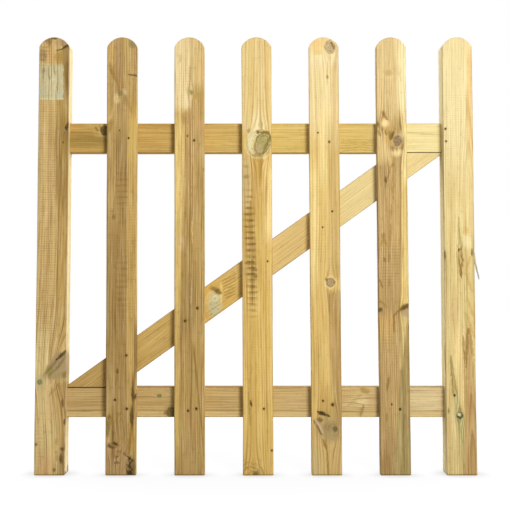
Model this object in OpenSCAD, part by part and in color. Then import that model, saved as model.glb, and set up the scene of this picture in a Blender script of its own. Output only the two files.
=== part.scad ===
// Palisade gate leaf: a mortised frame of two stiles and two rails, a diagonal
// brace that rises from the hinge side, and a row of round-topped pales on the front.
// The front faces -Y and +Z is up. The origin is on the hinge edge, the outer side
// of the left stile, at the middle of its thickness and of the leaf's height.

/* [Leaf] */
// Width over both stiles
leaf_w = 900; // [800:10:1000]
// Height from the feet to the crowns of the round tops
leaf_h = 900; // [850:10:1200]

/* [Timber] */
// Face width of every timber
face_w = 62; // [55:1:70]
// Thickness of the two stiles
stile_t = 45; // [42:1:55]
// Thickness of the pales
pale_t = 20; // [16:1:22]
// Radius of the eased edges
arris_r = 2; // [1:0.5:3]

/* [Round tops] */
// Rise of each crown above its shoulders
crown_rise = 20; // [12:1:26]

/* [Pales] */
// Number of pales between the stiles
pale_count = 5; // [3:1:5]
// Distance that the row is nailed off centre, towards the latch stile
pale_offset = 3.5; // [0:0.5:6]
// Lean of the pales, with their feet towards the latch stile, in degrees
pale_lean = 0.24; // [0:0.02:0.5]

/* [Rails] */
// Height of the bottom rail's lower edge above the feet
bottom_rail_z = 114; // [80:1:180]
// Distance from the crowns down to the top rail's upper edge
top_rail_drop = 178; // [120:1:220]

/* [Tenons] */
// Length of the stub tenons
tenon_l = 32; // [20:1:40]
// Thickness of the tenons, which are bare-faced in line with the rails' fronts
tenon_t = 13; // [10:1:16]
// Shoulder above and below each tenon
tenon_shoulder = 6; // [4:1:10]
// Depth of the mortises beyond the tenons' ends
mortise_slack = 2; // [1:0.5:4]

/* [Brace] */
// Height of the blunt end at each tip of the brace, where it butts against a stile
brace_butt = 3; // [1:0.5:8]

/* [Hidden] */
$fn = 48;

// The frame plane carries the pales: rails and brace lie behind it, flush with the backs.
frame_y = pale_t;
rail_t = stile_t - pale_t;

// Each crown is an arc that stands crown_rise high on the full face width.
crown_r = (pow(face_w / 2, 2) + pow(crown_rise, 2)) / (2 * crown_rise);

// Uprights are set out at one pitch from stile to stile.
pitch = (leaf_w - face_w) / (pale_count + 1);

// The opening is bounded by the inner edges of the stiles and rails.
opening_w = leaf_w - 2 * face_w;
opening_bottom = bottom_rail_z + face_w;
top_rail_z = leaf_h - top_rail_drop - face_w;
opening_h = top_rail_z - opening_bottom;
opening_mid = [leaf_w / 2, opening_bottom + opening_h / 2];

// Line from the middle of the opening to a tip of the brace's edge: the brace's
// centre line lies half a face width off that tip.
tip_dx = opening_w / 2;
tip_dz = opening_h / 2 - brace_butt;
brace_angle = atan2(tip_dz, tip_dx) + asin(face_w / 2 / norm([tip_dx, tip_dz]));
brace_stock = norm([opening_w, opening_h]) + 2 * face_w;

// Spare length of a cutting block beyond the timber that it trims
cut = 1;

HINGE_TONE = "#c9a468";
PALE_TONES = ["#bd9a60", "#c4a066", "#d6b35f", "#dcb868", "#c7a36a"];
LATCH_TONE = "#e6cb88";
TOP_RAIL_TONE = "#c8a258";
BOTTOM_RAIL_TONE = "#c6a66d";
BRACE_TONE = "#d8b161";

// Moves the leaf from its lower front corner at the hinge side to the origin.
module in_leaf() {
    translate([0, -stile_t / 2, -leaf_h / 2]) children();
}

// Cross-section of a planed timber with its four edges eased, corner at [0, 0]
module planed_section(size) {
    r = arris_r;
    translate([r, 0]) square([size.x - 2 * r, size.y]);
    translate([0, r]) square([size.x, size.y - 2 * r]);
    for (x = [r, size.x - r], y = [r, size.y - r])
        translate([x, y]) circle(r);
}

// A timber lying along +X, its front face at y = 0 and its lower edge at z = 0
module lying_timber(length, thickness) {
    rotate([90, 0, 90]) linear_extrude(length) planed_section([thickness, face_w]);
}

// Half of the section through a crown's axis: a disc with eased rims
module crown_half_section(thickness) {
    r = arris_r;
    square([crown_r - r, thickness]);
    translate([0, r]) square([crown_r, thickness - 2 * r]);
    for (y = [r, thickness - r])
        translate([crown_r - r, y]) circle(r);
}

// An upright with a round top, standing on z = 0 with its front face at y = 0
module upright(thickness) {
    crown_z = leaf_h - crown_r;
    intersection() {
        linear_extrude(leaf_h) planed_section([face_w, thickness]);
        union() {
            translate([-cut, 0, 0]) cube([face_w + 2 * cut, thickness, crown_z]);
            translate([face_w / 2, thickness, crown_z])
                rotate([90, 0, 0]) rotate_extrude() crown_half_section(thickness);
        }
    }
}

// The block of a tenon, or the cut of its mortise, from x = 0 along +X
module tenon_block(length) {
    translate([0, frame_y, tenon_shoulder])
        cube([length, tenon_t, face_w - 2 * tenon_shoulder]);
}

// The hinge-side stile, with a mortise for each rail sunk into its inner edge
module stile() {
    depth = tenon_l + mortise_slack;
    difference() {
        upright(stile_t);
        for (z = [bottom_rail_z, top_rail_z])
            translate([face_w - depth, 0, z]) tenon_block(depth + cut);
    }
}

// A rail between the stiles, with a stub tenon at each end
module rail(z) {
    in_leaf() translate([0, 0, z]) {
        translate([face_w, frame_y, 0]) lying_timber(opening_w, rail_t);
        translate([face_w - tenon_l, 0, 0]) tenon_block(opening_w + 2 * tenon_l);
    }
}

module hinge_stile() {
    color(HINGE_TONE) in_leaf() stile();
}

// The latch stile is the hinge stile's mirror image.
module latch_stile() {
    color(LATCH_TONE) in_leaf() translate([leaf_w, 0, 0]) mirror([1, 0, 0]) stile();
}

module top_rail() {
    color(TOP_RAIL_TONE) rail(top_rail_z);
}

module bottom_rail() {
    color(BOTTOM_RAIL_TONE) rail(bottom_rail_z);
}

// The brace is cut from a longer timber by the opening: level where it bears on the
// rails, and upright where its tips butt against the stiles.
module brace() {
    color(BRACE_TONE) in_leaf() intersection() {
        translate([opening_mid.x, frame_y, opening_mid.y])
            rotate([0, -brace_angle, 0])
                translate([-brace_stock / 2, 0, -face_w / 2])
                    lying_timber(brace_stock, rail_t);
        translate([face_w, 0, opening_bottom]) cube([opening_w, stile_t, opening_h]);
    }
}

// Pale number i, counted from the hinge stile, leaning about its middle
module pale(i) {
    color(PALE_TONES[i - 1]) in_leaf()
        translate([i * pitch + pale_offset + face_w / 2, 0, leaf_h / 2])
            rotate([0, -pale_lean, 0])
                translate([-face_w / 2, 0, -leaf_h / 2]) upright(pale_t);
}

hinge_stile();
latch_stile();
top_rail();
bottom_rail();
brace();
for (i = [1:pale_count])
    pale(i);
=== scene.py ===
import inspect
import math

import bpy
import numpy as np
from mathutils import Matrix, Vector


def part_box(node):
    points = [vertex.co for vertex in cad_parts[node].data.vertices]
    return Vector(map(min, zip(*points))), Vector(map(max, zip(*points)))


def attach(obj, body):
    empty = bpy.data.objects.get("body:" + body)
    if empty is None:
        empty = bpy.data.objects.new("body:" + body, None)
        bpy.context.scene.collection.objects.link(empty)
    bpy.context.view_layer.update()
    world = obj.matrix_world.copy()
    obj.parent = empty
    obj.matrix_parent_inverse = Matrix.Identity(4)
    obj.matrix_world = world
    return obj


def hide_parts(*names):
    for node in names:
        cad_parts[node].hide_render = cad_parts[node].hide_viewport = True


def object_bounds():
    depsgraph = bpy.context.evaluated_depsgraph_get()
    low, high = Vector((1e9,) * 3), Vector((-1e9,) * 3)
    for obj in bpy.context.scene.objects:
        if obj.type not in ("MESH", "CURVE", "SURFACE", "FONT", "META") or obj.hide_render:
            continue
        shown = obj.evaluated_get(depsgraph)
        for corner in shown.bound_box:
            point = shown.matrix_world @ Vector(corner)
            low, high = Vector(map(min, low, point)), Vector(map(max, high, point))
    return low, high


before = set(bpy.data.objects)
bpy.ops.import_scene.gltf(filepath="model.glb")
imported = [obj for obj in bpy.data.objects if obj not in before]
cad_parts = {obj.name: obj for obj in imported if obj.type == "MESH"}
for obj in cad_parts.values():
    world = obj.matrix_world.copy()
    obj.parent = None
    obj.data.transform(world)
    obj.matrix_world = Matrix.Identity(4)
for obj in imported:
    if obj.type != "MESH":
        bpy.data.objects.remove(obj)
cad_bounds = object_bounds()
scene = bpy.context.scene


# ---------------------------------------------------------------- Studio
# The leaf stands on a white floor in a white room. One soft lamp hangs high
# at the front right, and the room's walls fill the shadows.
CAMERA_PLACE = (0.4488, -2.0613, -0.0388)
CAMERA_TILT = 3.357
LAMP_PLACE = (1.42, -2.30, 0.73)

camera_data = bpy.data.cameras.new("camera")
camera_data.lens = 70
camera_data.sensor_width = 36
camera_data.shift_y = -0.08
camera = bpy.data.objects.new("camera", camera_data)
camera.location = CAMERA_PLACE
camera.rotation_euler = (math.radians(90 + CAMERA_TILT), 0, 0)
scene.collection.objects.link(camera)
scene.camera = camera
scene.view_settings.view_transform = "Standard"

leaf_low, leaf_high = cad_bounds
leaf_middle = (Vector(leaf_low) + Vector(leaf_high)) / 2

lamp_data = bpy.data.lights.new("lamp", "AREA")
lamp_data.shape = "DISK"
lamp_data.size = 0.9
lamp_data.energy = 57
lamp = bpy.data.objects.new("lamp", lamp_data)
lamp.location = LAMP_PLACE
lamp.rotation_euler = (leaf_middle - lamp.location).to_track_quat("-Z", "Y").to_euler()
scene.collection.objects.link(lamp)


class Wire:
    """One socket of a shader, which ordinary maths can be written with."""

    tree = None

    def __init__(self, socket):
        self.socket = socket

    @staticmethod
    def node(kind, settings=None, sockets=None, output=0):
        """Any node: its settings first, then the values or wires of its sockets."""
        made = Wire.tree.nodes.new(kind)
        for name, value in (settings or {}).items():
            setattr(made, name, value)
        for name, value in (sockets or {}).items():
            if isinstance(value, Wire):
                Wire.tree.links.new(value.socket, made.inputs[name])
            else:
                made.inputs[name].default_value = value
        return None if output is None else Wire(made.outputs[output])

    def maths(self, operation, other=0.0, flipped=False, clamp=False):
        first, second = (other, self) if flipped else (self, other)
        settings = {"operation": operation, "use_clamp": clamp}
        return Wire.node("ShaderNodeMath", settings, {0: first, 1: second})

    def __add__(self, other):
        return self.maths("ADD", other)

    __radd__ = __add__

    def __sub__(self, other):
        return self.maths("SUBTRACT", other)

    def __rsub__(self, other):
        return self.maths("SUBTRACT", other, flipped=True)

    def __mul__(self, other):
        return self.maths("MULTIPLY", other)

    __rmul__ = __mul__

    def __truediv__(self, other):
        return self.maths("DIVIDE", other)

    def __rtruediv__(self, other):
        return self.maths("DIVIDE", other, flipped=True)

    def __abs__(self):
        return self.maths("ABSOLUTE")

    def root(self):
        return self.maths("SQRT")

    def fraction(self):
        return self.maths("FRACT")

    def cosine(self):
        return self.maths("COSINE")

    def least(self, other):
        return self.maths("MINIMUM", other)

    def most(self, other):
        return self.maths("MAXIMUM", other)

    def step(self, low, high):
        """A smooth step from 0 at low to 1 at high, or falling where high is lower."""
        settings = {"interpolation_type": "SMOOTHSTEP"}
        return Wire.node("ShaderNodeMapRange", settings, {0: self, 1: low, 2: high})

    def sign(self):
        return self.maths("SIGN")

    def limited(self):
        return self.maths("MULTIPLY", 1.0, clamp=True)

    def parts(self):
        split = Wire.node("ShaderNodeSeparateXYZ", None, {0: self}).socket.node
        return [Wire(socket) for socket in split.outputs]


def paint(code):
    """A colour written as six hexadecimal digits, as a shader wants it."""
    levels = [int(code[place:place + 2], 16) / 255 for place in (0, 2, 4)]
    linear = [level / 12.92 if level <= 0.04045 else ((level + 0.055) / 1.055) ** 2.4 for level in levels]
    return (*linear, 1.0)


def blend(under, over, amount, mode="MIX"):
    """One colour laid over another, or multiplied into it."""
    under, over = (paint(coat) if isinstance(coat, str) else coat for coat in (under, over))
    settings = {"data_type": "RGBA", "blend_type": mode}
    return Wire.node("ShaderNodeMix", settings, {0: amount, 6: under, 7: over}, output=2)


def new_material(name):
    """An empty material, to which the nodes that are made next belong."""
    material = bpy.data.materials.new(name)
    material.use_nodes = True
    Wire.tree = material.node_tree
    Wire.tree.nodes.clear()
    return material


def cover(surface):
    """The last node of every material."""
    Wire.node("ShaderNodeOutputMaterial", None, {"Surface": surface}, output=None)


def in_view():
    """1 where a ray comes from the camera, or by way of gloss or glass, and 0 elsewhere."""
    rays = Wire.node("ShaderNodeLightPath").socket.node.outputs
    straight, glossy, through = (Wire(rays[f"Is {way} Ray"]) for way in ("Camera", "Glossy", "Transmission"))
    return straight.most(glossy).most(through)


def add_sockets(tree, way, kind, *labels):
    """Named sockets of one kind at one end of a tree."""
    for label in labels:
        tree.interface.new_socket(label, in_out=way, socket_type=f"NodeSocket{kind}")


def stencil(name, draw):
    """A node group that works out one shape's mask from numbers, drawn once for all boards."""
    tree = bpy.data.node_groups.new(name, "ShaderNodeTree")
    inputs = list(inspect.signature(draw).parameters)
    add_sockets(tree, "INPUT", "Float", *inputs)
    add_sockets(tree, "OUTPUT", "Float", "mask")
    Wire.tree = tree
    entry = tree.nodes.new("NodeGroupInput")
    result = draw(*[Wire(socket) for socket in entry.outputs[:len(inputs)]])
    leave = tree.nodes.new("NodeGroupOutput")
    tree.links.new(result.socket, leave.inputs[0])
    return tree


def stamp(tree, *values):
    """One use of a stencil, with its numbers in the order of its inputs."""
    return Wire.node("ShaderNodeGroup", {"node_tree": tree}, dict(enumerate(values)))


# The floor's own white hides where it ends. Near the feet it keeps a faint shadow: partly the lamp's, in its
# thin lit coat, and partly painted shade, as its glow is dimmed near the leaf and where ambient occlusion
# finds the feet.
MM = 0.001
FLOOR_SIZE = 12
FLOOR_GAP = 0.5 * MM
floor_place = (leaf_middle.x, 0, leaf_low[2] - FLOOR_GAP)
bpy.ops.mesh.primitive_plane_add(size=FLOOR_SIZE, location=floor_place)
floor = bpy.context.object
floor.name = "floor"

floor_white = new_material("floor white")
spread = Wire.node("ShaderNodeTexCoord", output="Object").parts()
reach = (spread[0] * spread[0] * 0.3 + spread[1] * spread[1]).root().step(0.1, 0.75)
# Painted contact shadow: ambient occlusion darkens the floor's glow round the feet.
nook = Wire.node("ShaderNodeAmbientOcclusion", {"samples": 8}, {"Distance": 0.035}, output=1)
brightness = (0.92 + reach * 0.08) * (0.55 + nook * 0.45)
glow = Wire.node("ShaderNodeEmission", None, {"Strength": brightness})
lit = Wire.node("ShaderNodeBsdfDiffuse", None, {"Color": (0.075, 0.075, 0.08, 1)})
shown = Wire.node("ShaderNodeAddShader", None, {0: glow, 1: lit})
bounced = Wire.node("ShaderNodeBsdfDiffuse", None, {"Color": (0.6, 0.6, 0.6, 1)})
cover(Wire.node("ShaderNodeMixShader", None, {0: in_view(), 1: bounced, 2: shown}))
floor.data.materials.append(floor_white)

room = bpy.data.worlds.new("room")
room.use_nodes = True
scene.world = room
Wire.tree = room.node_tree
backdrop = Wire.tree.nodes["Background"]
# The room is brightest to the left and right of the leaf and dim in front of it.
ways = Wire.node("ShaderNodeTexCoord", output="Generated").parts()
beside = abs(ways[0]).step(0.4, 0.85) * ways[1].step(-0.3, 0.2)
unseen = 0.16 + beside * 3.2 + ways[1].step(-0.1, 0.5) * 0.5
Wire.tree.links.new((unseen + in_view() * (1 - unseen)).socket, backdrop.inputs["Strength"])
backdrop.inputs["Color"].default_value = (1, 1, 1, 1)


# ---------------------------------------------------------------- Hinge stile
# The left upright is a planed pine stile, pressure treated, with a round top.
# The rails are tenoned into it, and the leaf hangs from its outer side.
def draw_oval(along, across, mid_along, mid_across, end_along, end_across, side_along, side_across):
    """How far out a place lies from an oval's middle, which is 1 on the oval itself."""
    up, aside = along - mid_along, across - mid_across
    to_end, to_side = up * end_along + aside * end_across, aside * side_across - up * side_along
    return (to_end * to_end + to_side * to_side).root()


def draw_band(along, across, start, end, fade, low, low_slope, high, high_slope, soft):
    """A stretch of the board from start to end, between two edges that may slope."""
    inside = along.step(start - fade, start + fade) * along.step(end + fade, end - fade)
    above = across - low - (along - start) * low_slope
    below = high + (along - start) * high_slope - across
    return inside * above.step(soft * -0.5, soft * 0.5) * below.step(soft * -0.5, soft * 0.5)


def draw_split(along, across, start_along, start_across, run, rise, length, width, ragged, soft):
    """A straight slit that is widest half way, with ragged sides."""
    up, aside = along - start_along, across - start_across
    part = (up * run + aside * rise) / length
    inner = part.limited()
    taper = (inner * (1 - inner) * 4).root() * width * (1 + ragged) + 0.01
    near = 0.45 - abs(aside * run - up * rise) / taper
    return near.step(soft * -1, soft) * part.step(0.0, 0.01) * part.step(1.0, 0.99)


OVAL = stencil("oval", draw_oval)
BAND = stencil("band", draw_band)
SPLIT = stencil("split", draw_split)


def oval_numbers(along, across, half_along, half_across, turn):
    """The numbers that draw_oval takes after the place itself."""
    cosine, sine = math.cos(math.radians(turn)), math.sin(math.radians(turn))
    return (along, across, cosine / half_along, sine / half_along, sine / half_across, cosine / half_across)


def timber_tree():
    """The shape the uprights share: a planed board with eased edges and a round top."""
    tree = bpy.data.node_groups.new("upright timber", "GeometryNodeTree")
    add_sockets(tree, "OUTPUT", "Geometry", "Timber")
    add_sockets(tree, "INPUT", "Vector", "Size", "Middle", "Turn")
    add_sockets(tree, "INPUT", "Float", "Crown rise", "Arris", "Cell", "Waviness", "Seed")
    add_sockets(tree, "INPUT", "Material", "Pine")
    Wire.tree = tree
    entry = tree.nodes.new("NodeGroupInput")
    given = {socket.name: Wire(socket) for socket in entry.outputs}
    rise, arris = given["Crown rise"], given["Arris"]
    spans = given["Size"].parts()
    cells = [given["Cell"], given["Cell"], given["Cell"] * 1.5]
    gaps = [(span / cell).maths("ROUND") for span, cell in zip(spans, cells)]
    counts = dict(zip(("Vertices X", "Vertices Y", "Vertices Z"), (gap + 1 for gap in gaps)))
    block = Wire.node("GeometryNodeMeshCube", None, {"Size": given["Size"], **counts})
    # The last two rows of points before each edge are gathered into its rounding.
    kept, over = [], []
    for span, gap, place in zip(spans, gaps, Wire.node("GeometryNodeInputPosition").parts()):
        inner = span / 2 - arris
        rows = span / gap * 2
        flat = span / 2 - rows
        rim = (abs(place) - flat).most(0.0) / rows * arris
        gathered = place.sign() * (abs(place).least(flat) / flat * inner + rim)
        kept.append(gathered.least(inner).most(0 - inner))
        over.append(gathered - kept[-1])
    beyond = Wire.node("ShaderNodeCombineXYZ", None, dict(enumerate(over)))
    outward = Wire.node("ShaderNodeVectorMath", {"operation": "NORMALIZE"}, {0: beyond})
    x, y, z = (near + out * arris for near, out in zip(kept, outward.parts()))
    # The crown is an arc that drops by its rise at both edges.
    half = spans[0] / 2
    radius = (half * half + rise * rise) / (rise * 2)
    fall = radius - (radius * radius - x * x).root()
    bent = rise * 3.5
    z = z - fall * ((z - spans[2] / 2 + bent) / bent).limited()
    # No sawn board is quite straight.
    seed = given["Seed"] * 5.3
    lumps = Wire.node("ShaderNodeCombineXYZ", None, {0: x * 18 + seed, 1: y * 18, 2: z * 7 + seed})
    noise = {"Vector": lumps, "Scale": 1.0, "Detail": 1.0}
    wave = Wire.node("ShaderNodeTexNoise", None, noise, output=1).parts()
    x = x + (wave[0] - 0.5) * given["Waviness"]
    y = y + (wave[1] - 0.5) * given["Waviness"]
    place = Wire.node("ShaderNodeCombineXYZ", None, {0: x, 1: y, 2: z})
    shaped = Wire.node("GeometryNodeSetPosition", None, {"Geometry": block, "Position": place})
    put = {"Geometry": shaped, "Translation": given["Middle"], "Rotation": given["Turn"]}
    return close_tree(tree, Wire.node("GeometryNodeTransform", None, put), given["Pine"])


def close_tree(tree, geometry, material):
    """The end of every such tree: plain smooth faces in one material."""
    plain = Wire.node("GeometryNodeRealizeInstances", None, {"Geometry": geometry})
    smooth = Wire.node("GeometryNodeSetShadeSmooth", None, {0: plain})
    painted = Wire.node("GeometryNodeSetMaterial", None, {"Geometry": smooth, "Material": material})
    leave = tree.nodes.new("NodeGroupOutput")
    tree.links.new(painted.socket, leave.inputs[0])
    return tree


def make_piece(name, tree, values, points=(), sizes=()):
    """Runs a tree once, on points where it needs them, and keeps the plain mesh it makes."""
    start = bpy.data.meshes.new(name)
    start.from_pydata(points, [], [])
    start.attributes.new("size", "FLOAT", "POINT").data.foreach_set("value", sizes)
    piece = bpy.data.objects.new(name, start)
    scene.collection.objects.link(piece)
    modifier = piece.modifiers.new(name, "NODES")
    modifier.node_group = tree
    for item in tree.interface.items_tree:
        if item.in_out == "INPUT" and item.name in values:
            modifier[item.identifier] = values[item.name]
    graph = bpy.context.evaluated_depsgraph_get()
    made = bpy.data.meshes.new_from_object(piece.evaluated_get(graph), depsgraph=graph)
    piece.modifiers.clear()
    piece.data = made
    return piece


TIMBER = timber_tree()
CROWN_RISE = 20 * MM
ARRIS = 2 * MM
UPRIGHT_CELL = 2.1 * MM
UPRIGHT_WAVINESS = 1.6 * MM
# Relief is cut in full down to the first of these depths, and fades out at the second.
RELIEF_FULL = 3
RELIEF_NONE = 6
PLANER_PITCH = 5.6


class Chisel:
    """Cuts relief into one board's mesh, in the millimetres that its pine is drawn in."""

    def __init__(self, piece, pine):
        self.mesh = piece.data
        self.corner = np.array(pine.corner)
        self.turn = np.array(Matrix.Rotation(pine.turn, 3, "Y"))
        flat = np.empty(len(self.mesh.vertices) * 3)
        self.mesh.vertices.foreach_get("co", flat)
        board = (flat.reshape(-1, 3) - self.corner) @ self.turn / MM
        self.across, self.depth, self.along = board.T.copy()
        self.front = np.clip((RELIEF_NONE - self.depth) / (RELIEF_NONE - RELIEF_FULL), 0, 1)

    def dent(self, along, across, half_along, half_across, turn, deep):
        """A hollow, or a swelling where deep is less than nothing."""
        numbers = oval_numbers(along, across, half_along, half_across, turn)
        end_along, end_across, side_along, side_across = numbers[2:]
        up, aside = self.along - along, self.across - across
        far = (up * end_along + aside * end_across) ** 2 + (aside * side_across - up * side_along) ** 2
        self.depth += np.clip(1.2 - far, 0, 1) ** 0.7 * self.front * deep

    def split(self, start, end, width, deep):
        """A groove that tapers to both ends."""
        run, rise = end[0] - start[0], end[1] - start[1]
        length = math.hypot(run, rise)
        up, aside = self.along - start[0], self.across - start[1]
        part = np.clip((up * run + aside * rise) / length ** 2, 0, 1)
        away = np.hypot(up - part * run, aside - part * rise)
        open_width = np.sqrt(part * (1 - part) * 4) * width * 0.5 + 0.7
        self.depth += np.clip(1.3 - away / open_width, 0, 1) * self.front * deep

    def shave(self, start, end, width, deep):
        """A right front edge that was never square, as where the log's bark ran out."""
        middle, half = (start + end) / 2, (end - start) / 2
        size = np.sqrt(np.clip(1 - ((self.along - middle) / half) ** 2, 0, 1))
        size = size * (1 + 0.25 * np.sin(self.along * 0.31) + 0.15 * np.sin(self.along * 0.83))
        inset = np.abs(BOARD_WIDTH - self.across)
        scale = (inset / (width * size + 0.001) + self.depth / (deep * size + 0.001)).clip(0.15)
        grown = np.where(scale < 1, 1 / scale, 1.0)
        self.across -= inset * (grown - 1)
        self.depth *= grown

    def done(self):
        """Puts the mesh back in its place, with everything that was cut."""
        board = np.stack([self.across, self.depth, self.along], axis=1) * MM
        self.mesh.vertices.foreach_set("co", (board @ self.turn.T + self.corner).ravel())
        self.mesh.update()


class Pine:
    """The finish of one board, drawn in millimetres: across it, deep into it, along it.

    The pith is the heart of its tree, across and deep, and the pitch is one year's ring."""

    def __init__(self, name, corner, seed, pith, pitch, knots, taper=0.0, sway=4.0, turn=0.0, lying=False):
        self.material = new_material(name)
        self.seed, self.corner, self.turn, self.lying = seed, corner, turn, lying
        self.relief = []
        self.nails = []
        placed = {"Location": tuple(corner), "Rotation": (0, turn, 0), "Scale": (MM, MM, MM)}
        placed["Vector"] = Wire.node("ShaderNodeTexCoord", output="Object")
        board = Wire.node("ShaderNodeMapping", {"vector_type": "TEXTURE"}, placed)
        x, self.depth, z = board.parts()
        self.across, self.along = (z, x) if lying else (x, z)
        self.front = self.depth.step(8, 4)
        # The grain runs round each knot as a stream runs round a stone.
        grain = self.across + self.noise(70, 420, 1) * 5
        self.stir = 0.0
        for along, across, half_along, half_across in knots:
            flat = half_across / half_along * 0.55
            aside = self.across + self.depth * 0.2 - across
            beside = (self.along - along) * flat
            distance = (aside * aside + beside * beside).most(half_across ** 2)
            pull = half_across ** 2 / distance
            grain = grain - aside * pull * 0.7
            self.stir = self.stir + pull
        self.grain = grain
        # The rings of the tree, counted from its pith.
        depth = self.depth - pith[1] + self.noise(300, 280, 9, 1) * sway
        aside = self.grain - pith[0]
        away = (aside * aside + depth * depth).root()
        self.rings = away / pitch + self.along * (taper / pitch) + self.noise(20, 320, 10) * 0.5
        self.rings = self.rings + self.years(0.31) * 0.9
        self.fibre = self.noise(1.2, 75, 11, 3, self.grain)
        self.streak = self.noise(3.4, 110, 24, 2, self.grain)
        self.edge = grain + self.noise(5, 60, 3) * 1.8 + self.streak * 1.2
        # Knots keep their round outline. Stains fray along the grain.
        self.knot_across = self.across + self.noise(9, 9, 4) * 2.2
        self.knot_along = self.along + self.noise(9, 9, 5) * 2.6
        self.mark_across = self.knot_across + self.fibre * 0.8
        self.mark_along = self.knot_along + self.fibre * 5.0
        self.frayed = self.knot_along + self.streak * 14 + self.noise(14, 30, 33, 1) * 10
        self.patchy = (self.noise(4, 12, 32, 2) * 1.5 + 0.75).limited()
        self.split_across = self.across + self.noise(5, 9, 8) * 3.0
        self.ragged = self.noise(2.5, 9, 25, 1) * 0.8
        self.colour = None
        self.height = 0.0

    def facing(self, x, z):
        """How far a face looks along the board's own directions, from -1 to 1."""
        direction = Matrix.Rotation(self.turn, 3, "Y") @ Vector((x, 0, z))
        sockets = {0: Wire.node("ShaderNodeTexCoord", output="Normal"), 1: tuple(direction)}
        return Wire.node("ShaderNodeVectorMath", {"operation": "DOT_PRODUCT"}, sockets, output="Value")

    def noise(self, across, along, shift=0.0, detail=2.0, grain=None):
        """Noise about zero whose lumps are so many millimetres across and along.

        Patterns with different shifts don't coincide."""
        side = self.across if grain is None else grain
        offset = self.seed * 7.31 + shift * 3.17
        cells = {0: side / across + offset, 1: self.depth / across, 2: self.along / along + offset}
        place = Wire.node("ShaderNodeCombineXYZ", None, cells)
        texture = {"Vector": place, "Scale": 1.0, "Detail": detail}
        return Wire.node("ShaderNodeTexNoise", None, texture) * 2 - 1

    def years(self, spacing):
        """Noise about zero that changes from ring to ring."""
        texture = {"W": self.rings * spacing + self.seed, "Scale": 1.0}
        return Wire.node("ShaderNodeTexNoise", {"noise_dimensions": "1D"}, texture) * 2 - 1

    def ground(self, light, dark):
        """The board's own two tones, which change from ring to ring and in long soft lumps."""
        tone = self.noise(16, 190, 6, 3, self.grain) * 1.5 + self.years(0.23) * 1.3
        self.colour = blend(dark, light, (tone + 0.5).step(0.0, 1.0))

    def lay(self, colour, mask, mode="MIX"):
        """One more colour over all the others, where the mask lets it."""
        self.colour = blend(self.colour, colour, mask, mode)

    def stripe(self, start, end, low, high, colour, amount, soft=3.0, fade=12.0):
        """A lengthwise band between two edges, each given where it starts and where it ends.

        Its sides blur over the soft distance, and its ends over the fade."""
        low, high = low or (-90, -90), high or (150, 150)
        length = end - start
        slopes = ((low[1] - low[0]) / length, (high[1] - high[0]) / length)
        numbers = (start, end, fade, low[0], slopes[0], high[0], slopes[1], soft)
        self.lay(colour, stamp(BAND, self.frayed, self.edge, *numbers) * amount)

    def stripes(self, *marks):
        """Many of them in their order, as spots and lines are below."""
        for mark in marks:
            self.stripe(*mark)

    def spot(self, along, across, half_along, half_across, colour, amount, soft=0.45, turn=0.0,
             streak=0.5, deep=0.0):
        """A soft oval mark on the front face, frayed along the grain."""
        if deep:
            self.relief.append((Chisel.dent, along, across, half_along, half_across, turn, deep))
        numbers = oval_numbers(along, across, half_along, half_across, turn)
        far = stamp(OVAL, self.mark_along, self.mark_across, *numbers) + self.fibre * streak
        self.lay(colour, far.step(1 + soft, 1 - soft) * self.front * (self.patchy * 0.35 + 0.65) * amount)

    def spots(self, *marks):
        for mark in marks:
            self.spot(*mark)

    def crack(self, start, end, width, colour, amount, deep=1.0, soft=0.2):
        """A split or a soft dark line from one place to another, tapered to both ends."""
        run, rise = end[0] - start[0], end[1] - start[1]
        length = math.hypot(run, rise)
        numbers = (*start, run / length, rise / length, length, width, self.ragged, soft)
        mask = stamp(SPLIT, self.along, self.split_across, *numbers) * self.front
        self.lay(colour, mask * (self.patchy * 0.45 + 0.55) * amount)
        self.height = self.height - mask * deep * 0.6
        if deep > 0.2:
            self.relief.append((Chisel.split, start, end, width, deep * 1.3))

    def line(self, start, end, width, colour, amount):
        """A soft line in the grain, with hardly any depth."""
        self.crack(start, end, width * 1.15, colour, amount, deep=0.1, soft=0.45)

    def lines(self, *marks):
        for mark in marks:
            self.line(*mark)

    def arcs(self, along, across, half_along, half_across, count, colour, amount, turn=0.0):
        """Growth rings cut at a slant: thin ovals, one inside another."""
        numbers = oval_numbers(along, across, half_along, half_across, turn)
        far = stamp(OVAL, self.knot_along, self.knot_across, *numbers) + self.noise(16, 40, 30, 1) * 0.3
        ring = (far * count).fraction()
        mask = ring.step(0.2, 0.8) * ring.step(1.0, 0.85) * far.step(1.15, 0.55)
        mask = mask * (self.noise(14, 26, 31, 1).step(-0.35, 0.35) * 0.85 + 0.15)
        self.lay(colour, mask * self.front * amount)

    def figure(self, colour, amount):
        """The late wood of each year's ring, cut by the saw, and the fibres between."""
        year = self.rings.fraction()
        strength = self.years(0.61).step(-0.5, 0.5) * 0.75 + 0.25
        strength = strength * (self.noise(24, 150, 26, 1).step(-0.6, 0.4) * 0.7 + 0.3)
        late = year.step(0.3, 0.85) * year.step(1.0, 0.9) * strength
        late = late * (self.stir * 0.5 + 1)
        self.lay(colour, (late * (amount * 1.08)).least(0.95), "MULTIPLY")
        self.lay(colour, self.streak.step(0.0, 0.7) * amount * 0.7, "MULTIPLY")
        self.lay("fff0c4", self.streak.step(0.0, -0.7) * amount * 0.35)
        self.lay(colour, (self.fibre * 1.7).step(0.0, 1.0) * amount * 0.9, "MULTIPLY")
        self.lay("fff2cc", (self.fibre * -1.7).step(0.0, 1.0) * amount * 0.4)
        mottle = self.noise(7, 13, 27, 2)
        self.lay(colour, mottle.step(0.05, 0.7) * amount * 0.5, "MULTIPLY")
        fleck = self.noise(0.7, 9, 23, 1, self.grain).step(0.25, 0.6)
        self.lay("7d5a24", fleck * amount * 0.5)
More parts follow.
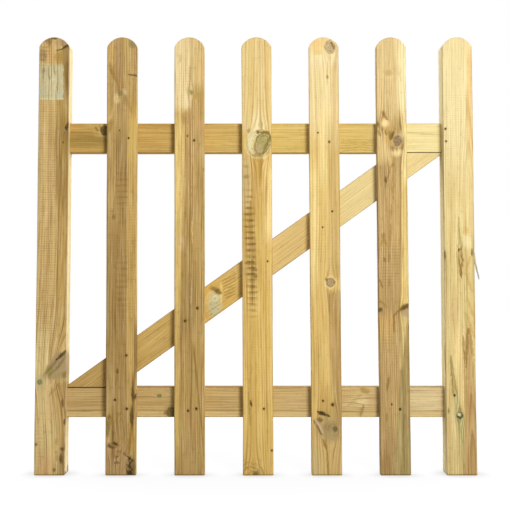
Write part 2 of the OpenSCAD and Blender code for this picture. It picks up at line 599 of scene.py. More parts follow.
        # The planer leaves a faint ripple across the whole face.
        ripple = (self.along * (math.tau / PLANER_PITCH) + self.noise(50, 30, 28, 1) * 2.5).cosine()
        ripple = ripple * (self.noise(9, 30, 29, 2) + self.streak * 0.5).step(-0.2, 0.7) * self.front
        self.lay(colour, ripple.step(-0.2, 1.0) * 0.12, "MULTIPLY")
        # Both long edges of the front are darkened a little: painted shade on the eased arrises.
        half = BOARD_WIDTH / 2
        beside = abs(self.across - half + self.fibre * 0.6)
        self.lay("7d6030", beside.step(half - 2.2, half - 0.2) * self.front * 0.4, "MULTIPLY")
        self.height = self.height + late * 0.07 + self.fibre * 0.08 - ripple * 0.03

    def side(self, colour, amount, right=True):
        """One long edge of the board in a paler colour: partly the wood's own, partly painted light where
        the room's bright sides fall on it.
        """
        self.lay(colour, self.facing(1 if right else -1, 0).step(0.6, 0.9) * amount)

    def edge_spot(self, along, depth, half_along, half_deep, colour, amount):
        """A mark on the right edge, between the front and the back."""
        numbers = oval_numbers(along, depth, half_along, half_deep, 0.0)
        far = stamp(OVAL, self.mark_along, self.depth, *numbers) + self.fibre * 0.4
        self.lay(colour, far.step(1.5, 0.6) * self.facing(1, 0).step(0.4, 0.8) * amount)

    def tint(self, colour, size, shift, amount):
        """A faint wash of another colour in lumps."""
        self.lay(colour, self.noise(size[0], size[1], shift, 2).step(0.0, 0.45) * amount)

    def saw(self, start, end, low, high, pitch, amount, colour="7d5f28", fade=30.0, skew=0.0,
            sharp=0.2, reach=4.0, slope=0.0):
        """Cross marks of the saw or the planer, each of its own length and strength."""
        phase = (self.along + self.across * skew) * (math.tau / pitch)
        wave = (phase + self.noise(60, 40, 12) * 1.2).cosine()
        ends = self.across + self.noise(40, pitch * 0.5, 13, 1) * reach
        mask = stamp(BAND, self.along, ends, start, end, fade, low, slope, high, slope, 8.0)
        mask = mask * (self.noise(30, pitch * 0.8, 14, 1).step(-0.5, 0.4) * 0.75 + 0.25)
        mask = mask * (self.streak * 0.9 + self.fibre * 0.9 + 0.75).limited()
        mask = mask * wave.step(sharp, 1.0) * self.front
        self.lay(colour, mask * amount)
        self.height = self.height - mask * 0.1

    def knot(self, along, across, half_along, half_across, core, rim, halo, turn=0.0):
        """A branch's stub, cut through: a mottled core, a dark rim and a halo.

        Each has its colour and its strength, and the halo also how far out it reaches."""
        numbers = oval_numbers(along, across, half_along, half_across, turn)
        ragged = self.noise(6, 6, 15 + along * 0.01) * 0.15
        far = stamp(OVAL, self.knot_along, self.knot_across + self.depth * 0.2, *numbers) + ragged
        halo_colour, halo_amount, reach = halo
        self.lay(halo_colour, (far + self.fibre * 0.3).step(reach, 1.0) * halo_amount)
        inside = far.step(1.06, 0.9)
        core_colour, core_amount = core
        self.lay(core_colour, inside * core_amount)
        mottle = self.noise(5, 5, 17, 3)
        self.lay("7a6844", inside * mottle.step(0.0, 0.6) * 0.5, "MULTIPLY")
        self.lay("fff0cc", inside * mottle.step(-0.1, -0.6) * 0.30)
        rings = (far * (half_across * 0.28) + self.noise(12, 12, 16) * 0.6).fraction()
        self.lay("75603c", inside * rings.step(0.45, 0.9) * rings.step(1.0, 0.92) * 0.4, "MULTIPLY")
        thin = min(0.3, 1.6 / half_across + 0.06)
        rim_mask = far.step(1 - thin, 1.0) * far.step(1 + thin, 1.02)
        rim_mask = rim_mask * (self.noise(12, 12, 18 + across * 0.1).step(-0.5, 0.3) * 0.75 + 0.25)
        rim_colour, rim_amount = rim
        self.lay(rim_colour, rim_mask * rim_amount)
        self.height = self.height + inside * 0.15 - rim_mask * 0.35
        self.relief.append((Chisel.dent, along, across, half_along * 1.1, half_across * 1.1, turn, -0.4))

    def nailed(self, places):
        """Dark stains of iron round each nail."""
        near = None
        self.nails = places
        for along, across, size in places:
            self.relief.append((Chisel.dent, along, across, size * 1.5, size * 1.4, 0.0, 0.9))
            numbers = oval_numbers(along, across, size * 1.12, size, 0.0)
            far = stamp(OVAL, self.along, self.across, *numbers)
            near = far if near is None else near.least(far)
        near = near + self.noise(4, 7, 19) * 0.35
        self.lay("5d4317", near.step(1.9, 0.8) * self.front * 0.35)
        self.lay("3f2a0a", near.step(1.05, 0.6) * self.front * 0.75)

    def season(self, tone):
        """Treated pine mellows as it dries: one tone over the whole board."""
        self.lay(tone, 1.0, "MULTIPLY")

    def finish(self):
        """End grain, painted shade along the feet of the uprights, then the shader itself."""
        lengthwise = self.facing(1, 0) if self.lying else self.facing(0, 1)
        self.lay("b08d58", abs(lengthwise).step(0.45, 0.95) * 0.45, "MULTIPLY")
        # Painted shade: the lowest four millimetres of each upright are darkened.
        if not self.lying:
            self.lay("8a6a3a", self.along.step(4.0, 0.5) * 0.6, "MULTIPLY")
        bump = Wire.node("ShaderNodeBump", None, {"Distance": MM, "Height": self.height})
        sockets = {"Base Color": self.colour, "Normal": bump}
        sockets["Roughness"] = 0.74 + self.noise(3, 30, 20) * 0.12
        sockets["Specular IOR Level"] = 0.2
        cover(Wire.node("ShaderNodeBsdfPrincipled", None, sockets))
        return self.material


nail_points, nail_sizes = [], []
NAIL_SUNK = 0.55
NAIL_IN_STAIN = 0.8


def set_upright(node, pine, slot):
    """Builds one upright in its pine, cuts the relief of its marks, and keeps where its nails go."""
    low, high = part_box(node)
    middle = (Vector(low) + Vector(high)) / 2
    # The box of a leaning board is taller than the board, as one lower corner hangs down.
    lean = abs(math.sin(pine.turn))
    size = (BOARD_WIDTH * MM, high[1] - low[1], high[2] - low[2] - lean * BOARD_WIDTH * MM * 0.5)
    values = {"Size": size, "Middle": tuple(middle), "Turn": (0, pine.turn, 0), "Pine": pine.finish()}
    values.update({"Crown rise": CROWN_RISE, "Arris": ARRIS, "Cell": UPRIGHT_CELL})
    values.update({"Waviness": UPRIGHT_WAVINESS, "Seed": float(pine.seed)})
    piece = make_piece(f"{node}_timber", TIMBER, values)
    chisel = Chisel(piece, pine)
    for cut, *numbers in pine.relief:
        cut(chisel, *numbers)
    chisel.done()
    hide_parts(node)
    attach(piece, "root")
    for along, across, stain in pine.nails:
        place = Matrix.Rotation(pine.turn, 3, "Y") @ Vector((across, NAIL_SUNK, along))
        nail_points.append(tuple(Vector(pine.corner) + place * MM))
        nail_sizes.append(stain * NAIL_IN_STAIN * MM)


hinge_low, hinge_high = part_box("hinge_stile")
BOARD_WIDTH = (hinge_high[0] - hinge_low[0]) / MM
pine = Pine("hinge stile pine", hinge_low, 1, (-70, 40), 5.1, [(187, 11, 7, 5), (214, 72, 34, 30)])
pine.ground("dfbe80", "d0ad70")
pine.tint("d9ab84", (14, 80), 1, 0.3)
pine.tint("cfc68a", (14, 80), 2, 0.35)
pine.stripes(
    (-40, 900, None, (5, 4), "cdbf93", 0.6), (50, 190, (8, 10), (36, 34), "ead298", 0.5, 8, 40),
    (200, 300, (6, 6), (40, 36), "e9d399", 0.6, 8, 30), (600, 760, (46, 45), None, "957336", 0.8, 5, 40),
    (-30, 250, (52, 52), None, "bd9a5c", 0.7, 6), (330, 775, (44, 43), None, "bf9a56", 0.9, 3),
    (255, 330, (60, 46), None, "bf9a56", 0.7, 6), (550, 745, (39, 37), None, "9b7938", 0.65, 5, 50),
    (270, 590, (43, 43), (47, 46), "9c7434", 0.5, 2, 40), (765, 900, (52, 50), None, "947332", 0.85))
pine.spots(
    (820, 60, 30, 6, "7d5c22", 0.7), (12, 22, 22, 14, "e0ae78", 0.5), (15, 56, 40, 8, "94784a", 0.6),
    (862, 26, 18, 9, "deb274", 0.8), (862, 7, 12, 9, "94754a", 0.7), (854, 42, 18, 9, "b38d42", 0.75),
    (889, 46, 8, 14, "b8946e", 0.8), (891, 20, 7, 7, "9c7a3c", 0.7))
# Where a label was peeled off, the wood stayed pale.
bare = pine.knot_along.step(768, 770) * pine.mark_along.step(846, 838)
bare = bare * pine.across.step(2, 4) * pine.knot_across.step(52, 50) * pine.front
pine.lay("d6cda6", bare * 0.8)
pine.lay("eee4c8", bare * pine.noise(12, 20, 34, 2).step(0.0, 0.5) * 0.6)
pine.lay("b59d6a", bare * pine.noise(9, 24, 22).step(0.0, 0.5) * pine.across.step(26, 6) * 0.7)
pine.lay("ebe4b4", bare * pine.along.step(775, 771) * 0.7)
# The inner side is painted paler: partly cream sapwood, partly painted light.
pine.side("f2dcaa", 0.9)
pine.figure("98753a", 0.7)
pine.lay("8e7f52", bare * pine.noise(2.4, 60, 21, 1).step(0.0, 0.5) * 0.6)
pine.spot(777, 43, 5, 6, "bcc6b8", 0.6)
pine.spot(783, 6, 8, 5, "b9bfae", 0.6)
for place in ((829, 10, 5, 3), (826, 20, 12, 1.2), (828, 33, 12, 1.2), (812, 22, 8, 1.2), (796, 38, 9, 1.2)):
    pine.spot(*place, "7f7348", 0.7)
pine.saw(250, 770, 0, 43, 4.8, 0.5, "8f6c34", skew=0.02, sharp=-0.3)
pine.saw(20, 100, 0, 18, 7.5, 0.35)
pine.saw(845, 880, 0, 30, 6.0, 0.35)
bruises = [
    (33, 55, 9, 3.6), (53, 57, 4, 3.8), (11, 41, 4, 3.2), (145, 57, 9, 2.4), (107, 62, 6, 3),
    (62, 4, 3.5, 2.5)]
for place in bruises:
    pine.spot(*place, "5f4418", 0.85)
for place in ((46, 45, 3, 3), (68, 45, 7, 4), (35, 46, 6, 3), (87, 22, 3, 4)):
    pine.spot(*place, "a88446", 0.55)
# A spike knot fans out to the right edge, above a small round knot.
pine.spot(204, 60, 14, 34, "dcc07c", 0.5)
pine.stripes(
    (198, 247, (20, 58), None, "a88e68", 0.8, 7, 9), (200, 225, (30, 48), (44, 60), "8d7152", 0.45, 9, 7))
pine.spot(198, 46, 6, 18, "8f7a52", 0.5, soft=0.7)
pine.spot(210, 30, 9, 7, "96893c", 0.7)
for row in range(5):
    pine.line((199 + 4 * row, 26 + 5 * row), (222 + 7 * row, 54 + 3 * row), 4, "7d6a48", 0.35)
pine.line((203, 18), (240, 52), 5, "7d6630", 0.7)
pine.crack((232, 42), (254, 66), 7, "46360a", 0.9)
pine.spot(203, 60, 7, 5, "7d6224", 0.7)
pine.line((166, 22), (194, 42), 5, "dfba86", 0.7)
pine.line((158, 28), (186, 50), 4, "94703a", 0.5)
pine.knot(188, 10, 5.5, 5, ("6f6a34", 0.65), ("8b8452", 0.4), ("b9b384", 0.7, 2.6))
pine.crack((698, 54), (724, 63), 6, "4a3310", 0.8)
pine.spot(712, 58, 5, 2.6, "4a3310", 0.7)
pine.spot(703, 57, 4, 3, "a89b72", 0.6)
pine.crack((872, 34), (875, 50), 3, "6b4c20", 0.8)
pine.crack((874, 45), (885, 62), 5, "4a3008", 0.9)
pine.spot(898, 31, 3, 8, "5b4420", 0.85)
scuffs = [
    (894, 17, 5, 5), (886, 22, 5, 3), (879, 13, 1.8, 12), (871, 10, 1.8, 10), (862, 7, 3, 7),
    (851, 8, 3, 9)]
for place in scuffs:
    pine.spot(*place, "86683a", 0.5)
pine.spot(861, 44, 11, 8, "a8843c", 0.5)
pine.nailed([(680, 52, 1.4)])
for place in ((6, 36, 9, 7), (2, 12, 4, 9), (120, 6, 12, 3), (182, 4, 9, 3), (56, 4, 10, 3)):
    pine.edge_spot(*place, "6f5424", 0.75)
pine.season("fafcf6")
set_upright("hinge_stile", pine, "hinge_stile_timber")


# ---------------------------------------------------------------- Latch stile
# The right upright mirrors the hinge stile and takes the rails' other tenons. It is
# the palest of the boards, cut from sapwood.
latch_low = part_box("latch_stile")[0]
latch_knots = [(121, 27, 8, 7), (455, 31, 12, 5)]
pine = Pine("latch stile pine", latch_low, 2, (53, 14), 3.1, latch_knots, taper=0.012, sway=7)
pine.ground("dfcb92", "d2ba7e")
pine.tint("d9b486", (12, 90), 1, 0.25)
pine.tint("d6d494", (12, 90), 2, 0.3)
pine.stripes(
    (620, 920, None, None, "e6d6a6", 0.85, 3, 120), (110, 200, (18, 18), (40, 40), "a8925c", 0.4, 8, 20),
    (-30, 215, (34, 41), None, "b4905a", 0.85, 5, 50), (20, 240, (20, 24), (38, 42), "bfa468", 0.5, 7, 30),
    (200, 292, (41, 44), (55, 53), "b48e5c", 0.55, 6, 14),
    (104, 180, (22, 19), (34, 24), "b9b988", 0.6, 5, 14),
    (20, 118, (33, 22), (36, 34), "b9b680", 0.6, 6, 20), (160, 243, (15, 9), (22, 11), "bd9f5e", 0.6, 4, 9),
    (130, 290, (28, 15), (37, 38), "ead094", 0.75, 5, 20), (650, 870, (51, 52), None, "dcb068", 0.6, 4, 25))
pine.spot(476, 46, 16, 9, "e9dcae", 0.6, turn=-14, streak=1.0)
pine.spot(496, 44, 9, 7, "c9a85c", 0.6)
# The left side is painted paler: partly sapwood, partly painted light from the room's bright side.
pine.side("e6d6a8", 0.7, right=False)
pine.figure("ac8a48", pine.along.step(1000, 250) * 0.35 + 0.32)
pine.lines(
    ((60, 34), (165, 15), 3, "8f8a50", 0.6), ((162, 15), (243, 9.5), 2.6, "7c6b2c", 0.85),
    ((142, 25), (243, 11), 2.6, "84753a", 0.8), ((100, 41), (235, 38), 4, "a98a4c", 0.6),
    ((228, 39), (284, 36), 4.4, "846a28", 0.95), ((215, 41), (299, 46), 5, "8a652f", 0.95),
    ((299, 47), (262, 56), 3.6, "96703a", 0.8), ((190, 43), (276, 48), 3, "a37f49", 0.7),
    ((276, 49), (236, 55), 3, "a37f49", 0.7), ((170, 46), (246, 50), 2.6, "a37f49", 0.6))
pine.spot(291, 48, 6, 4, "96703a", 0.7)
pine.line((240, 58), (268, 52), 5, "8f7430", 0.7)
pine.line((196, 55), (236, 58), 4, "94803c", 0.6)
pine.saw(540, 800, 0, 54, 4.6, 0.3, "b99a58")
pine.spot(121, 27, 6.6, 7, "45431a", 0.9, soft=0.25, streak=0.1)
pine.spot(120, 30, 6.6, 5, "2f2d0f", 0.7, soft=0.4, streak=0.1)
pine.spot(122.5, 26.5, 3.4, 4, "d3caa0", 0.95, soft=0.35, streak=0.1)
for tip in (328, 366):
    pine.line((tip - 50, 60), (tip, 43), 5, "ae9148", 0.6)
pine.line((370, 56), (412, 42), 5, "ae9148", 0.6)
pine.line((412, 42), (445, 54), 4, "ae9148", 0.6)
pine.spot(130, 5, 5, 1.8, "6f6636", 0.8)
# A drying crack, closed at the top and open at the bottom.
pine.crack((404, 33.5), (462, 31), 9, "bd9a55", 0.6, deep=0.3)
pine.crack((398, 34), (428, 33), 4.5, "7d5c20", 0.9)
pine.lines(
    ((424, 36.5), (468, 34.5), 2.2, "6f5420", 0.8), ((420, 31), (470, 27.5), 2.2, "6f5420", 0.8),
    ((464, 30), (528, 30.5), 3.4, "8a7a44", 0.85), ((462, 36), (494, 31), 4, "9d8c58", 0.7),
    ((405, 29), (455, 25.5), 3, "8f7436", 0.6), ((420, 37), (450, 37), 4, "7d6a34", 0.7))
pine.spot(458, 29, 3, 2.2, "4f3c12", 0.95, streak=0.1, deep=1.5)
pine.spot(457, 34, 2.4, 1.8, "4f3c12", 0.8, streak=0.1)
pine.spots(
    (447, 1, 9, 2.5, "5f4c22", 0.8), (428, 3, 18, 2, "8f7c44", 0.6), (453, 57, 8, 2.5, "5f5434", 0.85))
pine.nailed([(161, 17.5, 2.6), (682, 6, 2.3), (708, 5, 2.5)])
pine.season("fcfcf5")
set_upright("latch_stile", pine, "latch_stile_timber")


# ---------------------------------------------------------------- Rails
# Two level rails tie the stiles together behind the pales, tenoned at both ends.
# They are thinner than the stiles, flush with the backs, and carry every pale.
def rail_corner(node):
    """Where a rail's finish starts: low at its front, where it meets the hinge stile."""
    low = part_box(node)[0]
    return (hinge_high.x, low.y, low.z)


def dress(node, material):
    """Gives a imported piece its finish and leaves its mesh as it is."""
    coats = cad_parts[node].data.materials
    coats.clear()
    coats.append(material)


pine = Pine("top rail pine", rail_corner("top_rail"), 3, (-60, 30), 3.0, [(73, 48, 8, 8)], lying=True)
pine.ground("cda75e", "be9750")
pine.stripes(
    (240, 360, None, None, "cfac64", 0.8, 3, 70), (360, 660, None, None, "d6b96d", 0.9, 3, 90),
    (640, 790, None, None, "e6d49e", 1.0, 3, 35), (-20, 75, (10, 14), (44, 40), "94783a", 0.6, 14))
pine.spot(58, 46, 10, 12, "d0b060", 0.5)
pine.figure("a07830", pine.along.step(800, 500) * 0.18 + 0.34)
pine.knot(73, 47, 9, 10, ("6f5424", 0.85), ("3c290c", 0.6), ("e8d8a0", 0.2, 2.0), turn=10)
pine.line((52, 56), (60, 44), 5, "7d6228", 0.8)
pine.line((62, 60), (70, 36), 5, "6b5020", 0.7)
for row in range(5):
    pine.line((566, 3 + 6 * row), (606, 8 + 5 * row), 2.4, "a8863c", 0.6)
    pine.line((600, 8 + 5 * row), (650, 2 + 6 * row), 2.4, "a8863c", 0.6)
pine.line((668, 50), (690, 46), 3, "b8a070", 0.6)
pine.line((686, 45), (776, 38), 3, "c0a672", 0.6)
# The brace shuts against this edge. The dark line between is painted shadow in the joint.
pine.lay("3c2c10", pine.across.step(2.4, 1.6) * pine.along.step(690, 696) * 0.85)
pine.season("f9fbf1")
dress("top_rail", pine.finish())

rail_knots = [(190, 44, 5, 4), (624, 34, 16, 8)]
pine = Pine("bottom rail pine", rail_corner("bottom_rail"), 4, (-70, 40), 3.8, rail_knots, lying=True)
pine.ground("cdab6d", "c09d61")
pine.stripes(
    (400, 800, None, None, "d0b279", 0.7, 3, 150), (650, 800, None, None, "dcc694", 0.85, 3, 40),
    (-20, 900, None, (12, 13), "dabc7e", 0.8, 3), (-20, 900, (12, 13), (15, 16), "a07c42", 0.5, 2))
pine.tint("cfa27c", (8, 120), 1, 0.4)
pine.tint("c2ac66", (8, 120), 2, 0.4)
pine.spot(596, 34, 26, 12, "dcc48a", 0.7, turn=24, streak=1.0)
pine.spot(610, 30, 10, 12, "e2cc98", 0.5, streak=1.0)
pine.figure("9c763a", 0.52)
pine.knot(190, 44, 4.5, 3.6, ("85803e", 0.85), ("4a3310", 0.2), ("b0a060", 0.5, 2.0))
pine.knot(214, 10, 9, 10, ("6d6032", 0.8), ("4a3310", 0.5), ("9c8650", 0.5, 2.0))
pine.spot(205, 10, 7, 4, "8a5c2c", 0.75, turn=30)
pine.lines(
    ((602, 0), (611, 26), 6, "86632c", 0.7), ((574, 20), (612, 52), 7, "b08c50", 0.5),
    ((596, 2), (604, 20), 4, "b08a5c", 0.5))
pine.spot(613, 54, 10, 5, "9c7636", 0.7, turn=-20)
pine.spot(625, 14, 16, 6, "c4a468", 0.6, turn=20)
# The brace's foot shuts on this edge, with a dark line of painted shadow in the joint.
pine.lay("3c2c10", pine.across.step(59.0, 60.0) * pine.along.step(88, 82) * 0.9)
pine.season("fafefd")
dress("bottom_rail", pine.finish())


# ---------------------------------------------------------------- Brace
# The brace rises from the hinge side, behind the pales, and carries the latch side.
# Its ends are cut level on the rails and upright where they butt against the stiles.
BRACE_ANGLE = math.radians(35.53)
BRACE_HALF_LENGTH = 478
brace_low, brace_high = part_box("brace")
brace_middle = (Vector(brace_low) + Vector(brace_high)) / 2
to_corner = Vector((-BRACE_HALF_LENGTH, 0, -BOARD_WIDTH / 2)) * MM
brace_corner = brace_middle + Matrix.Rotation(-BRACE_ANGLE, 3, "Y") @ to_corner
brace_corner.y = brace_low.y
brace_knots = [(386, 42, 11, 9)]
pine = Pine("brace pine", brace_corner, 5, (-60, 30), 3.4, brace_knots, turn=-BRACE_ANGLE, lying=True)
pine.ground("d0ad64", "c6a25b")
pine.stripes(
    (-40, 130, None, None, "b59258", 0.6, 3, 60), (340, 470, None, None, "d4ac4c", 0.6, 3, 30),
    (430, 660, None, None, "d6b878", 0.9, 3, 80), (640, 960, None, None, "dfca92", 0.9, 3, 70),
    (170, 300, None, (20, 20), "b5914a", 0.4, 12, 30))
pine.spot(366, 20, 27, 14, "cdc6a2", 0.85, turn=62, soft=0.6, streak=0.2)
pine.spot(360, 14, 14, 8, "b7b48a", 0.6, turn=62, soft=0.8, streak=0.2)
pine.spot(376, 32, 8, 6, "e0dcba", 0.6, turn=62, soft=0.8, streak=0.2)
pine.figure("a07a38", pine.along.step(900, 500) * 0.2 + 0.32)
for row in range(7):
    start = (405 - 2.4 * row, 51 - 5.4 * row)
    pine.line(start, (start[0] + 36 - 2 * row, start[1] - 5), 3, "8d6a24", 0.7)
pine.lines(
    ((377, 12), (404, 50), 4, "e6ca80", 0.8), ((350, 34), (384, 55), 5, "d9b968", 0.6),
    ((381, 53), (392, 30), 9, "7d5c1c", 0.85))
pine.spot(388, 40, 5, 6, "553c0d", 0.7, soft=0.7, streak=0.2)
pine.spot(381, 52, 5, 6, "9c7834", 0.6)
speckles = [
    (350, 8, 2.2), (358, 17, 1.6), (367, 9, 1.8), (361, 26, 1.5), (374, 30, 2.2), (371, 20, 1.4),
    (355, 3, 1.6)]
for along, across, size in speckles:
    pine.spot(along, across, size, size * 0.8, "6e6440", 0.6, soft=0.7, streak=0.3)
pine.season("fdfef8")
dress("brace", pine.finish())


# ---------------------------------------------------------------- Pales
# Five thinner round-topped boards are nailed on the front of the rails.
# The row leans a little, with its feet towards the latch stile.
PALE_LEAN = math.radians(0.24)


def pale_pine(number, pith, pitch, sway, knots):
    """The finish of one pale, which starts at its lower left corner at the front."""
    low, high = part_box(f"pale_{number}")
    middle = Vector(((low.x + high.x) / 2, low.y, (low.z + high.z) / 2))
    down = Vector((-BOARD_WIDTH / 2 * MM, 0, low.z - middle.z))
    corner = middle + Matrix.Rotation(-PALE_LEAN, 3, "Y") @ down
    seed = 10 + number
    return Pine(f"pale {number} pine", corner, seed, pith, pitch, knots, sway=sway, turn=-PALE_LEAN)


pine = pale_pine(1, (-70, 30), 4.3, 4, [(62, 14, 14, 11), (782, 30, 12, 6)])
pine.ground("be9e65", "ad8c54")
pine.stripes(
    (690, 920, None, None, "c5a468", 0.8, 3, 50), (0, 100, (-4, -4), (34, 34), "c4a26a", 0.7, 8, 30),
    (200, 520, (-4, -4), (16, 18), "9f8046", 0.6, 6, 50),
    (480, 600, (24, 24), (42, 42), "b59559", 0.6, 6, 30),
    (180, 720, (16, 18), (43, 43), "a07f4a", 0.6, 7, 60), (40, 760, (43, 44), None, "cda862", 0.9, 2.5, 60),
    (200, 720, (42.5, 43.5), (46, 47), "d4b272", 0.5, 2, 60),
    (-20, 60, (0, 0), (46, 42), "bb976a", 0.7, 8, 20), (840, 900, (7, 6), (15, 15), "d3ae68", 0.7, 4, 10),
    (790, 900, (36, 35), (42, 43), "cbac6c", 0.7, 4, 15),
    (740, 900, (15, 14), (32, 32), "b08c60", 0.6, 6, 20))
pine.tint("c0905f", (10, 60), 1, 0.25)
pine.spot(771, 21, 10, 6, "e3cc90", 0.85, streak=1.0)
pine.spot(785, 36, 8, 4, "dec098", 0.85, turn=-30)
# The right side is painted paler: partly the wood's own colour, partly painted light.
pine.side("ecd49c", 0.8)
pine.figure("84642a", 0.66)
pine.line((846, 4), (822, 16), 7, "9c7636", 0.7)
pine.line((836, 5), (806, 19), 5, "8a682a", 0.7)
pine.spot(768, 39, 12, 5, "967646", 0.55)
pine.spot(754, 54, 24, 6, "a48038", 0.5)
pine.spot(742, 8, 18, 6, "cdae70", 0.6, turn=12)
pine.spot(714, 7, 14, 5, "946e2c", 0.6, turn=12)
pine.spot(684, 27, 22, 5, "8a723c", 0.45)
pine.stripe(640, 745, (43, 52), None, "d4b468", 0.4, soft=5, fade=25)
for row in (894, 889, 884, 879):
    pine.line((row, 45), (row - 2, 60), 1.8, "7a6238", 0.5)
pine.lines(
    ((826, 14), (790, 26), 5, "9c7636", 0.6), ((776, 38), (740, 52), 6, "9c7a44", 0.5),
    ((765, 12), (735, 4), 6, "9c7a44", 0.5))
pine.spot(783, 29, 6, 4, "7f7440", 0.75)
pine.saw(330, 450, 20, 44, 12.3, 0.5, "6f5424", sharp=-0.1)
pine.saw(540, 620, 20, 44, 12.3, 0.5, "6f5424", sharp=-0.1)
pine.saw(300, 560, 2, 60, 6.1, 0.2, sharp=-0.2)
pine.saw(745, 890, 2, 60, 5.8, 0.12)
# The bark ran out along the lower right edge.
pine.relief.append((Chisel.shave, 70, 320, 3.5, 2.5))
pine.stripes(
    (90, 200, (51, 53), (55, 58), "5d4216", 0.75, 4, 20), (190, 310, (57, 58), None, "6d5122", 0.6, 3, 20))
pine.spot(118, 53, 22, 3.4, "3f2b0a", 0.85)
pine.spot(164, 55, 14, 3, "4b340f", 0.8)
pine.line((100, 53), (42, 47), 6, "8c6726", 0.8)
pine.spot(14, 52, 20, 9, "5d4820", 0.7)
pine.spot(24, 56, 7, 5, "80704a", 0.6)
pine.spot(5, 49, 5, 6, "2a2008", 0.9, deep=1.6)
foot_cracks = [
    ((46, 33), (27, 59)), ((40, 45), (10, 52)), ((24, 40), (9, 57)), ((33, 57), (16, 44)),
    ((16, 41), (3, 47))]
for start, end in foot_cracks:
    pine.crack(start, end, 2.6, "3f2c10", 0.8, deep=0.7)
pine.spot(35, 49, 4, 3, "332406", 0.8)
pine.arcs(76, 30, 84, 24, 4.5, "7d6228", 0.4)
pine.spot(60, 14, 6, 11, "7d642e", 0.6)
pine.lines(
    ((66, 14), (60, 27), 3.4, "3f2f0c", 0.9), ((60, 3), (54, 20), 3, "4f3716", 0.85),
    ((64, 6), (58, 12), 3, "4f3716", 0.8))
pine.spots(
    (65, 21, 3, 4, "43350c", 0.8), (25, 23, 2, 6, "64522f", 0.8), (37, 23, 2.4, 3, "5f4c22", 0.8),
    (48, 27, 2, 6, "7f6a44", 0.7), (98, 3, 19, 6, "75693a", 0.8), (118, 8, 5, 4, "7d5428", 0.75),
    (108, 11, 7, 3, "9c7432", 0.7), (159, 61, 5, 4, "3a2708", 0.85), (525, 15, 5, 3.4, "80602c", 0.75))
pine.line((520, 12), (570, 17), 3, "8a6a34", 0.5)
pine.line((180, 20), (205, 24), 5, "866634", 0.7)
pine.spot(210, 24, 6, 2.4, "523a12", 0.85)
pine.crack((819, 64), (822, 42), 4, "4f3814", 0.9)
pine.spot(886, 54, 8, 9, "8c7a50", 0.8)
pine.nailed([(134, 43, 2.9), (152, 19, 2.8), (242, 42, 2.4), (689, 45, 2.2), (705, 26, 1.5)])
pine.season("fcfcef")
set_upright("pale_1", pine, "brown_pale_timber")

pine = pale_pine(2, (-60, 30), 3.9, 4, [(783, 34, 8, 5)])
pine.ground("be9e62", "af8f55")
pine.stripes(
    (330, 720, (46, 42), None, "c2a266", 0.6, 6, 80), (0, 90, (16, 18), (42, 42), "cba972", 0.7, 6, 30),
    (290, 400, (16, 18), (44, 42), "967644", 0.6, 6, 30),
    (560, 770, (14, 14), (42, 40), "d3b178", 0.7, 8, 40), (-30, 80, (13, 4), None, "b3935d", 0.5, 4, 30),
    (300, 740, (17, 22), (30, 28), "a5844e", 0.5, 5, 60), (40, 730, (0, 0), (10, 16), "d8b66e", 0.9, 3, 50),
    (480, 740, (0, 0), (16, 22), "e6c982", 0.85, 4, 60))
pine.tint("c2926c", (10, 70), 1, 0.3)
pine.tint("b3ae62", (9, 60), 2, 0.3)
pine.stripes(
    (752, 920, None, (33, 40), "efd9aa", 0.9, 12, 14), (796, 920, (30, 30), None, "dfc48c", 0.85, 10, 18),
    (720, 792, (40, 36), None, "c4a262", 0.6, 5, 16))
pine.spot(765, 24, 16, 9, "efdcb2", 0.7, streak=1.2)
pine.spot(756, 8, 14, 9, "efd8a4", 0.5, soft=0.8, streak=1.2)
pine.spot(830, 56, 26, 5, "dfb878", 0.6, streak=1.0)
pine.spot(730, 24, 14, 9, "b08c58", 0.6)
pine.spot(714, 52, 12, 7, "d0a274", 0.6)
pine.spot(473, 12, 16, 8, "dcc294", 0.6, streak=1.2)
# The right side is painted paler: partly the wood's own colour, partly painted light.
pine.side("ecd49c", 0.8)
pine.figure("84642a", 0.64)
pine.stripes(
    (60, 262, (58, 38), (61, 42), "86652e", 0.7, 3, 20),
    (100, 262, (32, 36), (34, 39), "86652e", 0.65, 2, 20),
    (240, 740, (31, 30), (33.5, 32), "82602a", 0.7, 2, 40))
pine.line((800, 33), (840, 31), 4, "a88e58", 0.6)
pine.spots(
    (787, 30, 9, 5, "b8a468", 0.7), (784, 36, 5, 4, "877140", 0.85), (776, 46, 6, 9, "b08e48", 0.6),
    (855, 12, 8, 4, "c3ad80", 0.7), (623, 61, 4, 2, "8a7040", 0.8))
pine.lines(
    ((345, 34), (400, 37), 2.4, "dcc493", 0.45), ((470, 37), (517, 36), 2.4, "e2c48a", 0.5),
    ((566, 36), (640, 38), 3, "94743a", 0.6))
pine.saw(760, 850, 0, 36, 5.8, 0.1)
pine.nailed([(134, 45, 2.9), (130, 28, 2.6), (312, 22, 2.9), (338, 47, 2.8), (684, 41, 2.7), (693, 27, 1.7)])
pine.season("fdfbee")
set_upright("pale_2", pine, "brown_pale_timber")

